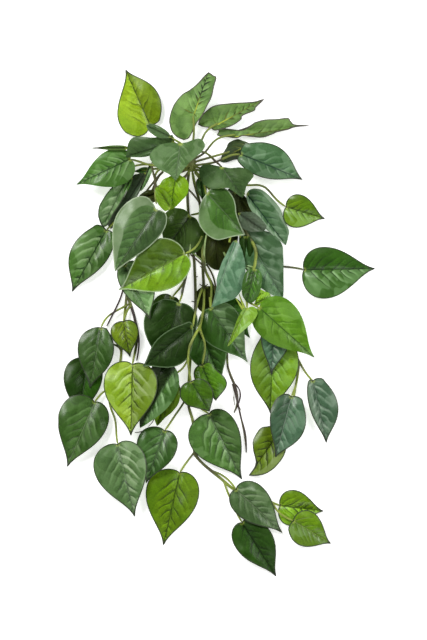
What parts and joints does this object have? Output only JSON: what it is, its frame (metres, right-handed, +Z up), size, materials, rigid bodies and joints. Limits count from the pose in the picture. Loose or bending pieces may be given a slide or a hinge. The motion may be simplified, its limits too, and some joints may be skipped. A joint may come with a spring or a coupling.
{
  "type": "trailing philodendron",
  "caption": "Trailing heart-leaf philodendron: a cut bunch of long thin stems with heart-shaped leaves on slender stalks, lying on a flat surface.",
  "frame": {"origin": "on the surface that the bunch lies on, under the middle of its outline", "axes": "+Z up from the surface, +Y along the bunch towards its crown end, +X to the right as seen from above with the crown end up"},
  "size_m": [0.4375, 0.7, 0.0822],
  "materials": {
    "leaf_lime": "satin",
    "leaf_fresh": "satin",
    "leaf_green": "satin",
    "leaf_deep": "satin",
    "leaf_blue_green": "satin",
    "leaf_grey_green": "satin",
    "leaf_olive": "satin",
    "stem": "satin",
    "bark": "matte"
  },
  "bodies": {
    "root": {"crown": "bark", "vine_right_back": "stem", "vine_right": "stem", "vine_mid": "stem", "vine_centre": "stem", "vine_left": "stem", "leaf_01": "leaf_lime", "leaf_02": "leaf_grey_green", "leaf_03": "leaf_deep", "leaf_05": "leaf_green", "leaf_06": "leaf_grey_green", "leaf_07": "leaf_deep", "leaf_10": "leaf_blue_green", "leaf_11": "leaf_lime", "leaf_12": "leaf_grey_green", "leaf_13": "leaf_green", "leaf_14": "leaf_green", "leaf_15": "leaf_fresh", "leaf_17": "leaf_green", "leaf_18": "leaf_grey_green", "leaf_19": "leaf_green", "leaf_21": "leaf_blue_green", "leaf_22": "leaf_lime", "leaf_23": "leaf_deep", "leaf_24": "leaf_blue_green", "leaf_26": "leaf_blue_green", "leaf_27": "leaf_green", "leaf_28": "leaf_fresh", "leaf_29": "leaf_lime", "leaf_30": "leaf_deep", "leaf_32": "leaf_deep", "leaf_33": "leaf_deep", "leaf_35": "leaf_deep", "leaf_36": "leaf_fresh", "leaf_37": "leaf_fresh", "leaf_38": "leaf_green", "leaf_39": "leaf_lime", "leaf_40": "leaf_deep", "leaf_41": "leaf_grey_green", "leaf_42": "leaf_green", "leaf_43": "leaf_lime", "leaf_44": "leaf_deep", "leaf_45": "leaf_lime", "leaf_46": "leaf_green", "leaf_47": "leaf_deep", "leaf_48": "leaf_fresh", "leaf_49": "leaf_grey_green", "leaf_50": "leaf_lime", "leaf_51": "leaf_olive", "leaf_52": "leaf_olive", "leaf_53": "leaf_green", "leaf_54": "leaf_lime", "leaf_55": "leaf_blue_green", "leaf_56": "leaf_blue_green", "leaf_57": "leaf_blue_green", "leaf_58": "leaf_lime", "leaf_59": "leaf_deep", "leaf_60": "leaf_deep", "leaf_61": "leaf_lime", "leaf_62": "leaf_lime"}
  },
  "joints": []
}
